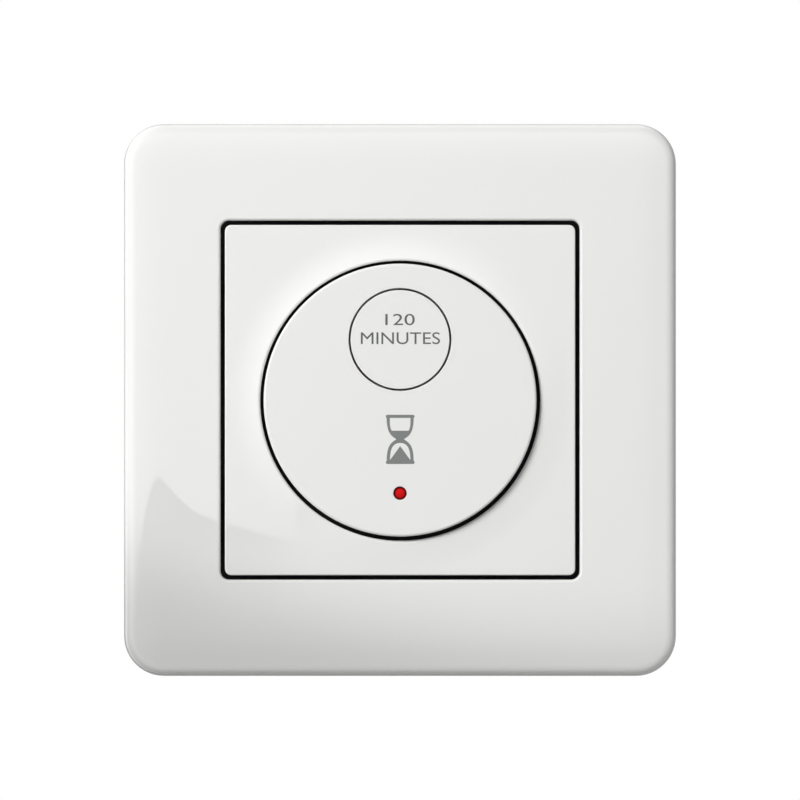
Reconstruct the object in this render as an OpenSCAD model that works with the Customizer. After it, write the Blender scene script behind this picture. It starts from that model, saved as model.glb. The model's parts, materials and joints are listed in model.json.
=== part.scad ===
// Timer light switch for a flush wall box: a push key starts an electronic timer.
// Every piece is drawn face up (X right, Y up, Z out of the wall, wall face at Z = 0)
// and stood up by on_wall(), so that the front faces -Y and Z is up. All sizes in mm.

/* [Cover frame] */
// Outer width and height of the frame
frame_w = 86.8; // [82:0.2:100]
// Height of the frame's flat face above the wall
frame_h = 9.5; // [8.8:0.1:13]
// Corner radius of the outline
frame_corner_r = 6.3; // [4.5:0.1:10]
// Wall thickness of the moulding
frame_wall = 1.8; // [1.3:0.1:2.3]
// Radius of the small rounding between front and side
rim_r = 2; // [1:0.1:3]
// Radius of the long soft fall that leads into it
rim_soft_r = 60; // [16:1:80]

/* [Centre plate] */
// Width and height of the square plate
plate_w = 55; // [54:0.5:60]
// Gap between plate and frame
plate_gap = 0.7; // [0.4:0.05:1.1]
// Height of the plate's flat face above the frame's
plate_proud = 0.4; // [0:0.1:1.5]
// Thickness of the plate's face
plate_t = 1.8; // [1.4:0.1:2.3]
// Corner radius of the plate
plate_corner_r = 1; // [0.6:0.05:3]
// Rise of the flared collar round the hole
collar_rise = 0.45; // [0.1:0.05:1]

/* [Round front] */
// Diameter of the round front disc
disc_d = 42.8; // [41:0.1:43.5]
// Gap between disc and collar
disc_gap = 0.45; // [0.3:0.05:0.9]
// Height of the disc above the collar
disc_proud = 1.5; // [0:0.1:2]
// Thickness of the disc's face
disc_t = 1.8; // [1.2:0.1:2.3]

/* [Start key] */
// Diameter of the round key
key_d = 15.5; // [14.5:0.5:16]
// Gap between key and disc
key_gap = 0.3; // [0.15:0.05:0.35]
// Height of the key above the disc's centre
key_up = 9.5; // [9:0.1:9.8]
// Height of the key above the disc's face
key_proud = 0.15; // [0:0.05:0.3]
// Stroke of the key
key_travel = 0.8; // [0.4:0.1:1]

/* [Indicator] */
// Diameter of the lens
lens_d = 2; // [1.5:0.1:2.6]
// Distance of the lens below the disc's centre
lens_down = 14.6; // [13.5:0.1:15.5]

/* [Steel support plate] */
// Width and height of the plate
support_w = 71; // [69:0.5:75]
// Sheet thickness
support_t = 1; // [0.8:0.1:1.4]
// Distance between opposite wall box screws
box_pitch = 60; // [59:0.5:61]
// Diameter of the wall box screw holes
box_hole_d = 3.4; // [3.2:0.1:4.4]

/* [Insert body] */
// Width across the two flat sides
insert_w = 40; // [39.8:0.2:42]
// Depth behind the wall face
insert_depth = 27; // [26:0.5:34]
// Distance of the flat underside below the centre
insert_low = 22.6; // [22.2:0.1:24]
// Wall thickness of the moulded housings
insert_wall = 1.8; // [1.5:0.1:2]
// Thickness of both circuit boards
board_t = 1.6; // [1:0.1:1.9]

/* [Terminals] */
// Distance between neighbouring terminals
terminal_pitch = 7.5; // [7.2:0.1:7.8]
// Distance that a clamp cage rises
cage_travel = 2; // [1:0.1:2.4]
// Width of a wire entry
entry_w = 3.4; // [2.5:0.1:3.6]

/* [Claws] */
// Distance of each claw screw from the level centre line
claw_up = 8; // [7.5:0.1:9]
// Length of a claw behind the wall
claw_l = 21; // [19.5:0.5:24]

/* [Hidden] */
$fn = 64;
cut = 0.5;
slide_fit = 0.1;
run_fit = 0.08;
touch_fit = 0.05;

// Outline of the frame
opening_w = plate_w + 2 * plate_gap;
opening_corner_r = plate_corner_r + plate_gap / 2;
opening_edge_r = 0.5;
skirt_t = 1.5;
rib_t = 1.2;
rib_from_middle = 19;

// Heights of the visible faces above the wall
plate_z = frame_h + plate_proud;
collar_z = plate_z + collar_rise;
disc_z = collar_z + disc_proud;
disc_back_z = disc_z - disc_t;

// Front housing, built up from the support plate
flange_t = 3;
flange_z = support_t + flange_t;
floor_t = 0.8;
control_z = support_t + floor_t;
control_front_z = control_z + board_t;
spigot_h = 1.4;
disc_r = disc_d / 2;
disc_edge_r = 0.45;
disc_skirt_t = 1.5;
spigot_r = disc_r - disc_skirt_t - slide_fit;
spigot_t = 1.5;
control_bay_r = spigot_r - spigot_t;
floor_hole_r = 15.5;
flange_fit = 0.5;
plate_seat = 0.7;
flange_w = plate_w - 2 * skirt_t + 2 * plate_seat;
flange_corner_r = 3;

// Centre plate
plate_edge_r = 0.25;
plate_skirt_z = flange_z;
hole_r = disc_r + disc_gap;
lip_r = 0.4;
collar_margin = 0.2;
collar_r = plate_w / 2 - plate_edge_r - collar_margin;
collar_steps = 14;
collar_end_a = atan(2 * collar_rise / (collar_r - hole_r - lip_r));
collar_end_r = hole_r + lip_r + lip_r * sin(collar_end_a);
collar_end_rise = collar_rise - lip_r + lip_r * cos(collar_end_a);
lip_steps = 6;
leg_w = 4;
leg_t = 1.6;
leg_inset = 4.8;
leg_at = flange_w / 2 - leg_inset;
hook_l = 1.2;
hook_reach = 0.6;
leg_clear = 0.2;
leg_end_z = support_t + leg_clear;

// Start key
key_r = key_d / 2;
key_hole_r = key_r + key_gap;
key_edge_r = 0.1;
key_cap_t = 1.6;
key_wall = 1.1;
key_catch = 0.6;
key_flange_t = 0.8;
key_flange_r = key_hole_r + key_catch;
guide_wall = 1;
guide_l = 2.4;
guide_z = disc_back_z - guide_l;
key_z = disc_z + key_proud;
key_back_z = key_z - key_cap_t;
key_flange_z = guide_z - touch_fit - key_flange_t;
stem_r = 2.2;

// Push switch under the key
tact_w = 6;
tact_h = 3.3;
tact_corner_r = 0.4;
tact_z = control_front_z + tact_h;
plunger_r = 1.75;
plunger_spare = 0.2;
plunger_depth = 1.2;
plunger_top_z = tact_z + key_travel + plunger_spare;
plunger_z = tact_z - plunger_depth;
stem_z = plunger_top_z + touch_fit;

// Return spring round the push switch
spring_wire_r = 0.25;
spring_r = (tact_w / sqrt(2) + key_r - key_wall) / 2;
spring_turns = 5;
spring_z0 = control_front_z + spring_wire_r;
spring_z1 = key_back_z - spring_wire_r;
spring_steps = 16;
spring_sides = 6;

// Indicator
lens_r = lens_d / 2;
lens_recess = 0.15;
dome_r = 1.6 * lens_r;
pipe_step = 0.7;
pipe_flange_r = lens_r + pipe_step;
pipe_flange_t = 0.8;
pipe_r = lens_r + pipe_step / 2;
lens_boss_t = 0.9;
led_size = [3.2, 2.8, 1.9];
led_cup_r = 1.2;
led_cup_depth = 0.3;
led_z = control_front_z + led_size[2];

// Screws that join both housings round the support plate
join_shank_r = 1.25;
join_head_r = 2.1;
join_head_h = 1.5;
join_floor_t = 1.2;
join_clear = 0.8;
join_ring_r = disc_r + join_head_r + join_clear;
join_at = join_ring_r / sqrt(2);
join_l = 11;
boss_r = 2.4;
boss_l = 13;
boss_floor = 1;

// Rear housing and main board
insert_edge = 1.6;
insert_back_z = -insert_depth;
insert_floor_z = insert_back_z + insert_wall;
ledge_w = 0.8;
board_drop = 2;
main_front_z = -board_drop;
main_back_z = main_front_z - board_t;

// Pin strip between the boards
pin_count = 5;
pin_pitch = 2.54;
pin_r = 0.42;
pin_y = -6;
strip_w = pin_count * pin_pitch;
strip_t = 2.5;

// Terminals, built up from the rear housing's floor
screw_r = 1.5;
screw_head_r = 2.5;
screw_head_h = 1.8;
access_r = 2.2;
drive_w = 3.4;
drive_t = 0.6;
drive_depth = 0.8;
cage_wall = 0.8;
cage_nut_t = 1.2;
cage_in_w = 4;
cage_side = 0.7;
cage_w = cage_in_w + 2 * cage_side;
cage_d = 4.6;
bar_t = 0.8;
bar_w = 3.2;
wire_room = 3;
head_z = insert_floor_z + slide_fit;
head_front_z = head_z + screw_head_h;
cage_clear = 0.3;
cage_z = head_front_z + cage_clear + cage_travel;
bar_z = cage_z + cage_nut_t + cage_clear;
bar_front_z = bar_z + bar_t;
cage_front_z = bar_front_z + wire_room + cage_wall;
pocket_fit = 0.25;
block_wall = 1.5;
block_d = cage_d + 2 * pocket_fit + 2 * block_wall;
block_w = 2 * terminal_pitch + cage_w + 2 * pocket_fit + 2 * block_wall;
block_low = insert_low - insert_wall - touch_fit;
cage_room = 0.4;
block_front_z = cage_front_z + cage_room + block_wall;
terminal_y = -block_low + block_d / 2;
bar_tail_y = -block_low + block_d + slide_fit;
entry_flare = 0.5;

// The insert's radius takes in both the screw bosses and the terminal block's corners
block_corner_r = sqrt(pow(block_low, 2) + pow(block_w / 2, 2)) + insert_wall + slide_fit;
insert_r = max(join_ring_r + boss_r, block_corner_r);

// Vents and label field in the back of the rear housing
vent_count = 5;
vent_pitch = 4;
vent_w = 1.3;
vent_l = 10;
vent_up = 10;
field_w = 26;
field_h = 9;
field_up = -3;
field_depth = 0.3;

// Bent lips and stamped beads of the support plate
lip_l = 38;
lip_h = 3;
bead_l = 12;
bead_w = 3;
bead_h = 0.5;
bead_from_middle = 19;
corner_inset = 6;
corner_pitch = support_w - 2 * corner_inset;
support_corner_r = 5;
corner_hole_r = 2.1;

// Feet of the frame's ribs on the beads, and fingers that brace the bent lips from inside
foot_l = bead_w - 2 * slide_fit;
foot_z = support_t + bead_h;
finger_w = 8;
finger_t = 1.2;
finger_from_middle = 10;
finger_clear = 0.2;
finger_end_z = support_t + finger_clear;
finger_at = support_w / 2 - support_t - touch_fit - finger_t / 2;

// Claws and claw screws
claw_gap = 0.6;
claw_in_x = insert_w / 2 + claw_gap;
claw_reach = 6;
claw_screw_x = claw_in_x + claw_reach / 2;
claw_w = 8;
claw_sheet = 1;
claw_flange_t = 1.5;
claw_z = -5;
claw_slot_half = 2.3;
claw_head_r = 2.7;
claw_head_h = 2;
claw_tip_clear = 3.5;
claw_screw_l = claw_l - claw_tip_clear;
claw_foot_t = 1.2;
claw_waist = 1.7;
claw_tooth = 1.2;
claw_flare_l = 4.5;
guide_rib_t = 0.9;
guide_rib_h = 2.8;
guide_rib_fit = 0.4;

// Electronic parts on the main board: place and size
relay_at = [-9, 4.5];
relay_size = [15.4, 19, 15.4];
film_at = [3.2, 3.5];
film_size = [6, 17, 12.5];
can_at = [[12, 9.2], [12, 0.4]];
can_r = 4;
can_h = 12;
varistor_at = [4.5, 17.8];
varistor_r = 4.6;
varistor_t = 3.6;
fuse_at = [12, -8];
fuse_r = 3.6;
fuse_h = 7.5;
lead_r = 0.35;
case_corner_r = 0.7;
base_h = 0.8;

// Colours for the preview
white = [0.93, 0.93, 0.92];
pale = [0.8, 0.81, 0.82];
steel = [0.66, 0.68, 0.7];
brass = [0.8, 0.66, 0.35];
dark = [0.16, 0.16, 0.17];
green = [0.12, 0.4, 0.24];

// Stands a piece that is drawn face up on the wall, front towards -Y
module on_wall() {
    rotate([90, 0, 0])
        children();
}

// Round-cornered rectangle, centred
module soft_square(w, h, r) {
    square([w - 2 * r, h], center = true);
    square([w, h - 2 * r], center = true);
    for (side = [-1, 1], end = [-1, 1])
        translate([side * (w / 2 - r), end * (h / 2 - r)])
            circle(r = r);
}

// Long hole with round ends, along X
module long_hole(l, w) {
    square([l - w, w], center = true);
    for (side = [-1, 1])
        translate([side * (l - w) / 2, 0])
            circle(d = w);
}

// Round-cornered block between two heights
module soft_block(w, h, r, z0, z1) {
    translate([0, 0, z0])
        linear_extrude(height = z1 - z0)
            soft_square(w, h, r);
}

// Rod or bore between two heights
module rod(r, z0, z1) {
    translate([0, 0, z0])
        cylinder(r = r, h = z1 - z0);
}

// Box between two heights, centred on the axis
module bar(w, h, z0, z1) {
    translate([-w / 2, -h / 2, z0])
        cube([w, h, z1 - z0]);
}

// Carries a profile (x out from the corner centres, y forwards) round a square outline
module carry_round(w, r) {
    for (turn = [0 : 90 : 270])
        rotate(turn)
            translate([w / 2 - r, w / 2 - r, 0]) {
                rotate_extrude(angle = 90)
                    children();
                rotate([90, 0, 0])
                    linear_extrude(height = w - 2 * r)
                        children();
            }
}

// Rectangle whose outer front corner is rounded
module eased_profile(x0, x1, y0, y1, r) {
    translate([x0, y0])
        square([x1 - x0 - r, y1 - y0]);
    translate([x0, y0])
        square([x1 - x0, y1 - y0 - r]);
    translate([x1 - r, y1 - r])
        circle(r = r);
}

// What a cutter takes off to round the front edge of a hole at x, whose face is at y
module edge_break(x, y, r) {
    difference() {
        translate([x - cut, y - r])
            square([r + cut, r + cut]);
        translate([x + r, y - r])
            circle(r = r);
        translate([x + r, y - r])
            square([r + cut, 3 * r]);
    }
}

// Section of the frame's rim: side wall, small rounding and long soft fall, each tangent to the next
module rim_profile() {
    fall_y = frame_h - rim_soft_r;
    ease_x = frame_corner_r - rim_r;
    ease_y = fall_y + sqrt(pow(rim_soft_r - rim_r, 2) - pow(ease_x, 2));
    touch_x = ease_x * rim_soft_r / (rim_soft_r - rim_r);
    square([frame_corner_r, ease_y]);
    translate([ease_x, ease_y])
        circle(r = rim_r);
    intersection() {
        translate([0, fall_y])
            circle(r = rim_soft_r);
        square([touch_x, frame_h]);
    }
}

// Hollow moulded frame: soft rim, opening with a rounded edge, inner skirt, ribs and grip fingers
module cover_frame() {
    hollow_w = frame_w - 2 * frame_wall;
    core_w = frame_w - 2 * frame_corner_r;
    skirt_w = opening_w + 2 * skirt_t;
    under_z = frame_h - frame_wall;
    color(white)
        on_wall() {
            difference() {
                union() {
                    difference() {
                        union() {
                            bar(core_w, core_w, 0, frame_h);
                            carry_round(frame_w, frame_corner_r)
                                rim_profile();
                        }
                        soft_block(hollow_w, hollow_w, frame_corner_r - frame_wall, -cut, under_z);
                    }
                    soft_block(skirt_w, skirt_w, opening_corner_r + skirt_t, flange_z, under_z + cut);
                    for (turn = [0 : 90 : 270], end = [-1, 1])
                        rotate(turn) {
                            translate([(opening_w + hollow_w) / 4, end * rib_from_middle, 0])
                                bar((hollow_w - opening_w) / 2 + 1, rib_t, flange_z, under_z + cut);
                            translate([box_pitch / 2, end * bead_from_middle, 0])
                                bar(foot_l, rib_t, foot_z, flange_z + cut);
                            translate([finger_at, end * finger_from_middle, 0])
                                bar(finger_t, finger_w, finger_end_z, under_z + cut);
                        }
                }
                soft_block(opening_w, opening_w, opening_corner_r, -cut, frame_h + cut);
                carry_round(opening_w, opening_corner_r)
                    edge_break(opening_corner_r, frame_h, opening_edge_r);
            }
        }
}

// Section of the flared collar: a rise that grows steeper up to the rounded lip of the hole, tangent to it
function collar_points() = concat(
    [for (i = [0 : collar_steps]) let (t = i / collar_steps)
        [collar_r - t * (collar_r - collar_end_r), plate_z + collar_end_rise * t * t]],
    [for (i = [1 : lip_steps]) let (a = 90 - collar_end_a + (90 + collar_end_a) * i / lip_steps)
        [hole_r + lip_r + lip_r * cos(a), collar_z - lip_r + lip_r * sin(a)]],
    [[hole_r, plate_z - plate_t], [collar_r, plate_z - plate_t]]
);

// Square plate with eased edges, flared collar, skirt and four snap legs
module centre_plate() {
    core_w = plate_w - 2 * plate_corner_r;
    inner_w = plate_w - 2 * skirt_t;
    color(white)
        on_wall() {
            difference() {
                union() {
                    difference() {
                        union() {
                            bar(core_w, core_w, plate_skirt_z, plate_z);
                            carry_round(plate_w, plate_corner_r)
                                eased_profile(0, plate_corner_r, plate_skirt_z, plate_z, plate_edge_r);
                        }
                        bar(inner_w, inner_w, plate_skirt_z - cut, plate_z - plate_t);
                    }
                }
                rod(hole_r + lip_r, plate_skirt_z - cut, plate_z + cut);
            }
            rotate_extrude()
                polygon(collar_points());
            for (side = [-1, 1], end = [-1, 1])
                translate([side * leg_at, end * leg_at, 0])
                    plate_leg(end);
        }
}

// Snap leg whose hook catches in the front housing
module plate_leg(end) {
    bar(leg_w, leg_t, leg_end_z, plate_z - plate_t + cut);
    translate([0, end * (leg_t + hook_reach) / 2, 0])
        bar(leg_w, hook_reach, leg_end_z, leg_end_z + hook_l);
}

// Round front of the insert: eased disc, skirt, key guide and lens seat
module front_disc() {
    seat_r = pipe_flange_r + touch_fit;
    color(white)
        on_wall()
            difference() {
                union() {
                    rotate_extrude()
                        eased_profile(0, disc_r, disc_back_z, disc_z, disc_edge_r);
                    difference() {
                        rod(disc_r, flange_z, disc_back_z + disc_t / 2);
                        rod(disc_r - disc_skirt_t, flange_z - cut, disc_back_z);
                    }
                    translate([0, key_up, 0])
                        rod(key_hole_r + guide_wall, guide_z, disc_back_z + disc_t / 2);
                    translate([0, -lens_down, 0])
                        rod(seat_r + lens_boss_t, disc_back_z - pipe_flange_t, disc_back_z + disc_t / 2);
                }
                translate([0, key_up, 0]) {
                    rod(key_hole_r, guide_z - cut, disc_z + cut);
                    rotate_extrude()
                        edge_break(key_hole_r, disc_z, key_edge_r);
                }
                translate([0, -lens_down, 0]) {
                    rod(lens_r + touch_fit, disc_back_z - cut, disc_z + cut);
                    rod(seat_r, disc_back_z - pipe_flange_t - cut, disc_back_z);
                }
            }
}

// Round push key: eased cap, guide skirt with a catch flange, and a stem on the switch
module start_key() {
    color(white)
        on_wall()
            translate([0, key_up, 0]) {
                rotate_extrude()
                    eased_profile(0, key_r, key_back_z, key_z, key_edge_r);
                difference() {
                    union() {
                        rod(key_r, key_flange_z, key_back_z + key_cap_t / 2);
                        rod(key_flange_r, key_flange_z, key_flange_z + key_flange_t);
                    }
                    rod(key_r - key_wall, key_flange_z - cut, key_back_z);
                }
                rod(stem_r, stem_z, key_back_z + key_cap_t / 2);
            }
}

// Middle line of the spring: a flat curl at each end, open curls between
function spring_point(t) = let (
    a = 360 * t * spring_turns,
    flat = 1 / spring_turns,
    rise = t < flat / 2 ? 0 : t > 1 - flat / 2 ? 1 : (t - flat / 2) / (1 - flat),
    lift = min(1, t * spring_turns) * 0.5 + min(1, max(0, t * spring_turns - spring_turns + 1)) * 0.5
) [spring_r * cos(a), spring_r * sin(a),
    spring_z0 + (spring_z1 - spring_z0) * (0.12 * lift + 0.88 * rise)];
spring_rings = spring_turns * spring_steps;
spring_line = [for (i = [0 : spring_rings]) spring_point(i / spring_rings)];

// Least clear space between neighbouring curls, measured on the middle line
spring_gap = min([for (i = [0 : spring_rings - spring_steps])
    spring_line[i + spring_steps][2] - spring_line[i][2]]) - 2 * spring_wire_r;

// Return spring: one unbroken tube
module key_spring() {
    points = [for (i = [0 : spring_rings], s = [0 : spring_sides - 1])
        let (a = 360 * i / spring_steps, b = 360 * s / spring_sides, p = spring_line[i])
        [p[0] + spring_wire_r * cos(b) * cos(a), p[1] + spring_wire_r * cos(b) * sin(a),
            p[2] + spring_wire_r * sin(b)]];
    sides = [for (i = [0 : spring_rings - 1], s = [0 : spring_sides - 1])
        let (n = (s + 1) % spring_sides, k = i * spring_sides, m = k + spring_sides)
        [k + s, k + n, m + n, m + s]];
    start = [for (s = [spring_sides - 1 : -1 : 0]) s];
    finish = [for (s = [0 : spring_sides - 1]) spring_rings * spring_sides + s];
    color(steel)
        on_wall()
            translate([0, key_up, 0])
                polyhedron(points = points, faces = concat(sides, [start, finish]));
}

// Clear red light pipe: lens, flange behind the disc, and a rod down to the lamp
module light_pipe() {
    color([0.75, 0.1, 0.1])
        on_wall()
            translate([0, -lens_down, 0]) {
                intersection() {
                    rod(lens_r, disc_back_z - pipe_flange_t / 2, disc_z);
                    translate([0, 0, disc_z - lens_recess - dome_r])
                        sphere(r = dome_r);
                }
                rod(lens_r, disc_back_z - pipe_flange_t / 2, disc_z - lens_recess - lens_r / 2);
                rod(pipe_flange_r, disc_back_z - pipe_flange_t, disc_back_z);
                rod(pipe_r, led_z + touch_fit, disc_back_z - pipe_flange_t / 2);
            }
}

// Front housing: square flange with a spigot for the disc and a bay for the control board
module front_housing() {
    head_fit = 0.3;
    color(dark)
        on_wall()
            difference() {
                union() {
                    soft_block(flange_w, flange_w, flange_corner_r, support_t, flange_z);
                    rod(spigot_r, support_t, flange_z + spigot_h);
                }
                rod(control_bay_r, control_z, flange_z + spigot_h + cut);
                rod(floor_hole_r, support_t - cut, control_z + cut);
                for (side = [-1, 1], end = [-1, 1])
                    translate([side * join_at, end * join_at, 0]) {
                        rod(join_shank_r + slide_fit, support_t - cut, flange_z + cut);
                        rod(join_head_r + slide_fit, support_t + join_floor_t, flange_z + cut);
                    }
                for (side = [-1, 1], end = [-1, 1])
                    translate([side * leg_at, end * leg_at, 0])
                        leg_slot(end);
                for (turn = [0, 180])
                    rotate(turn)
                        translate([claw_screw_x, claw_up, 0]) {
                            rod(claw_head_r + head_fit, support_t - cut, flange_z + cut);
                            translate([claw_head_r, 0, 0])
                                bar(2 * claw_head_r, 2 * (claw_head_r + head_fit), support_t - cut, flange_z + cut);
                        }
            }
}

// Slot for a snap leg, wider at the back where the hook sits
module leg_slot(end) {
    slot_fit = 2 * slide_fit;
    room = hook_reach + slide_fit;
    bar(leg_w + slot_fit, leg_t + slot_fit, support_t - cut, flange_z + cut);
    translate([0, end * (leg_t / 2 + room / 2), 0])
        bar(leg_w + slot_fit, room + slot_fit, support_t - cut, leg_end_z + hook_l + slide_fit);
}

// Round control board with holes for the pin strip
module control_board() {
    color(green)
        on_wall()
            difference() {
                rod(control_bay_r - 2 * slide_fit, control_z, control_front_z);
                pin_row()
                    rod(pin_r + slide_fit, control_z - cut, control_front_z + cut);
            }
}

// Repeats a shape for every pin of the strip
module pin_row() {
    for (i = [0 : pin_count - 1])
        translate([(i - (pin_count - 1) / 2) * pin_pitch, pin_y, 0])
            children();
}

// Body of the push switch, with the bore that its plunger runs in
module tact_switch() {
    color(dark)
        on_wall()
            translate([0, key_up, 0])
                difference() {
                    soft_block(tact_w, tact_w, tact_corner_r, control_front_z, tact_z);
                    rod(plunger_r + run_fit, plunger_z - key_travel - plunger_spare, tact_z + cut);
                }
}

// Plunger of the push switch
module tact_plunger() {
    color([0.85, 0.84, 0.8])
        on_wall()
            translate([0, key_up, 0])
                rod(plunger_r, plunger_z, plunger_top_z);
}

// Red lamp on the control board
module indicator_led() {
    color([0.9, 0.85, 0.8])
        on_wall()
            translate([0, -lens_down, 0])
                difference() {
                    bar(led_size[0], led_size[1], control_front_z, led_z);
                    translate([0, 0, led_z - led_cup_depth])
                        cylinder(r1 = led_cup_r - led_cup_depth, r2 = led_cup_r, h = led_cup_depth + touch_fit);
                }
}

// Timer chip with its legs
module timer_chip() {
    chip_at = [9.4, -3.2];
    chip_w = 4;
    chip_l = 5;
    chip_h = 1.6;
    pin_gap = 1.27;
    pin_span = 6;
    pin_w = 0.5;
    pin_h = 0.4;
    color(dark)
        on_wall()
            translate([chip_at[0], chip_at[1], 0]) {
                bar(chip_w, chip_l, control_front_z + pin_h / 2, control_front_z + chip_h);
                for (i = [-1.5 : 1.5])
                    translate([0, i * pin_gap, 0])
                        bar(pin_span, pin_w, control_front_z, control_front_z + pin_h);
            }
}

// Small resistors and capacitors on the control board
module chip_resistors() {
    places = [[-9, -2], [-9, -5], [-12, -3.5], [-4.5, -11], [-8, -11], [5.5, -11]];
    resistor = [2, 1.25, 0.6];
    color([0.25, 0.24, 0.23])
        on_wall()
            for (p = places)
                translate([p[0], p[1], 0])
                    bar(resistor[0], resistor[1], control_front_z, control_front_z + resistor[2]);
}

// Stamped and coated steel plate: bent lips, beads, box screw, corner, claw and joining holes
module support_plate() {
    color(dark)
        on_wall()
            difference() {
                union() {
                    soft_block(support_w, support_w, support_corner_r, 0, support_t);
                    for (turn = [0 : 90 : 270])
                        rotate(turn) {
                            translate([0, (support_w - support_t) / 2, 0])
                                bar(lip_l, support_t, 0, lip_h);
                            plate_bead(bead_l, bead_w, 0, support_t + bead_h);
                        }
                }
                rod(floor_hole_r + flange_fit, -cut, support_t + cut);
                for (turn = [0 : 90 : 270])
                    rotate(turn) {
                        plate_bead(bead_l - 1, bead_w - 1, -cut, bead_h);
                        translate([box_pitch / 2, 0, 0])
                            rod(box_hole_d / 2, -cut, support_t + cut);
                        translate([corner_pitch / 2, corner_pitch / 2, 0])
                            rod(corner_hole_r, -cut, support_t + cut);
                        translate([join_at, join_at, 0])
                            rod(join_shank_r + slide_fit, -cut, support_t + cut);
                    }
                for (turn = [0, 180])
                    rotate(turn)
                        translate([claw_screw_x, claw_up, 0])
                            rod(screw_r + run_fit, -cut, support_t + cut);
            }
}

// Pair of stamped beads along one side of the support plate
module plate_bead(l, w, z0, z1) {
    for (side = [-1, 1])
        translate([side * bead_from_middle, box_pitch / 2, z0])
            linear_extrude(height = z1 - z0)
                long_hole(l, w);
}

// Four screws that join both housings
module housing_screws() {
    seat_z = support_t + join_floor_t;
    color(steel)
        on_wall()
            for (side = [-1, 1], end = [-1, 1])
                translate([side * join_at, end * join_at, 0])
                    difference() {
                        union() {
                            rod(join_shank_r, seat_z - join_l, seat_z + join_head_h / 2);
                            rod(join_head_r, seat_z, seat_z + join_head_h);
                        }
                        cross_recess(join_head_r, drive_t, seat_z + join_head_h);
                    }
}

// Cross-shaped driver recess in a head whose face is at z
module cross_recess(w, t, z) {
    bar(w, t, z - drive_depth, z + cut);
    bar(t, w, z - drive_depth, z + cut);
}

// Moulded strip that carries the pins between the boards
module pin_strip() {
    color(dark)
        on_wall()
            difference() {
                translate([0, pin_y, 0])
                    bar(strip_w, strip_t, main_front_z, control_z);
                pin_row()
                    rod(pin_r + touch_fit, main_front_z - cut, control_z + cut);
            }
}

// Pins that join both boards
module strip_pins() {
    tail = 0.8;
    color(brass)
        on_wall()
            pin_row()
                rod(pin_r, main_back_z - tail, control_front_z + tail);
}

// Outline of the insert: round, with flat sides for the claws and a flat underside
module insert_outline(inset) {
    reach = insert_r - inset;
    intersection() {
        circle(r = reach);
        translate([-insert_w / 2 + inset, -insert_low + inset])
            square([insert_w - 2 * inset, insert_low - inset + reach]);
    }
}

// Main board, notched round the screw bosses
module main_board() {
    color(green)
        on_wall()
            difference() {
                translate([0, 0, main_back_z])
                    linear_extrude(height = board_t)
                        insert_outline(insert_wall - ledge_w + 2 * slide_fit);
                for (side = [-1, 1], end = [-1, 1])
                    translate([side * join_at, end * join_at, 0])
                        rod(boss_r + 2 * slide_fit, main_back_z - cut, main_front_z + cut);
                pin_row()
                    rod(pin_r + slide_fit, main_back_z - cut, main_front_z + cut);
            }
}

// Relay that switches the lamps
module relay() {
    color([0.12, 0.25, 0.5])
        on_wall()
            translate([relay_at[0], relay_at[1], 0]) {
                soft_block(relay_size[0], relay_size[1], case_corner_r, main_back_z - relay_size[2],
                    main_back_z - base_h);
                soft_block(relay_size[0] - base_h, relay_size[1] - base_h, case_corner_r / 2,
                    main_back_z - base_h - touch_fit, main_back_z);
            }
}

// Film capacitor of the power supply
module film_capacitor() {
    color([0.75, 0.62, 0.2])
        on_wall()
            translate([film_at[0], film_at[1], 0])
                soft_block(film_size[0], film_size[1], case_corner_r, main_back_z - film_size[2], main_back_z);
}

// Two smoothing capacitors with a rolled groove near the foot
module smoothing_capacitors() {
    groove_r = 0.5;
    groove_up = 1.8;
    score_w = 0.4;
    score_depth = 0.15;
    color([0.2, 0.22, 0.3])
        on_wall()
            for (p = can_at)
                translate([p[0], p[1], 0])
                    difference() {
                        rod(can_r, main_back_z - can_h, main_back_z);
                        translate([0, 0, main_back_z - groove_up])
                            rotate_extrude()
                                translate([can_r + groove_r / 2, 0])
                                    circle(r = groove_r);
                        translate([0, 0, main_back_z - can_h])
                            cross_recess(can_r, score_w, score_depth);
                    }
}

// Disc-shaped surge absorber on its two leads
module varistor() {
    hang = 1.2;
    lead_spread = 2.5;
    middle_z = main_back_z - hang - varistor_r;
    color([0.15, 0.3, 0.6])
        on_wall()
            translate([varistor_at[0], varistor_at[1], 0]) {
                translate([0, varistor_t / 2, middle_z])
                    rotate([90, 0, 0])
                        cylinder(r = varistor_r, h = varistor_t);
                for (side = [-1, 1])
                    translate([side * lead_spread, side * varistor_t / 4, 0])
                        rod(lead_r, middle_z, main_back_z);
            }
}

// Round fuse
module fuse() {
    color(dark)
        on_wall()
            translate([fuse_at[0], fuse_at[1], 0]) {
                rod(fuse_r, main_back_z - fuse_h, main_back_z - base_h);
                rod(fuse_r - base_h, main_back_z - base_h - touch_fit, main_back_z);
            }
}

// Place of a terminal, counted from the left
module at_terminal(i) {
    translate([(i - 1) * terminal_pitch, terminal_y, 0])
        children();
}

// Insulating block with a pocket for each clamp cage, a wire window and a slot for the bar
module terminal_block() {
    pocket_w = cage_w + 2 * pocket_fit;
    pocket_d = cage_d + 2 * pocket_fit;
    color([0.9, 0.89, 0.86])
        on_wall()
            difference() {
                translate([0, terminal_y, 0])
                    bar(block_w, block_d, insert_floor_z, block_front_z);
                for (i = [0 : 2])
                    at_terminal(i) {
                        bar(pocket_w, pocket_d, insert_floor_z - cut, cage_front_z + cage_room);
                        translate([0, -block_d / 2, 0])
                            bar(entry_w, block_d, bar_front_z, bar_front_z + wire_room);
                        translate([0, block_d / 2, 0])
                            bar(bar_w + 2 * slide_fit, block_d, bar_z - slide_fit, bar_front_z + slide_fit);
                    }
            }
}

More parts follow.
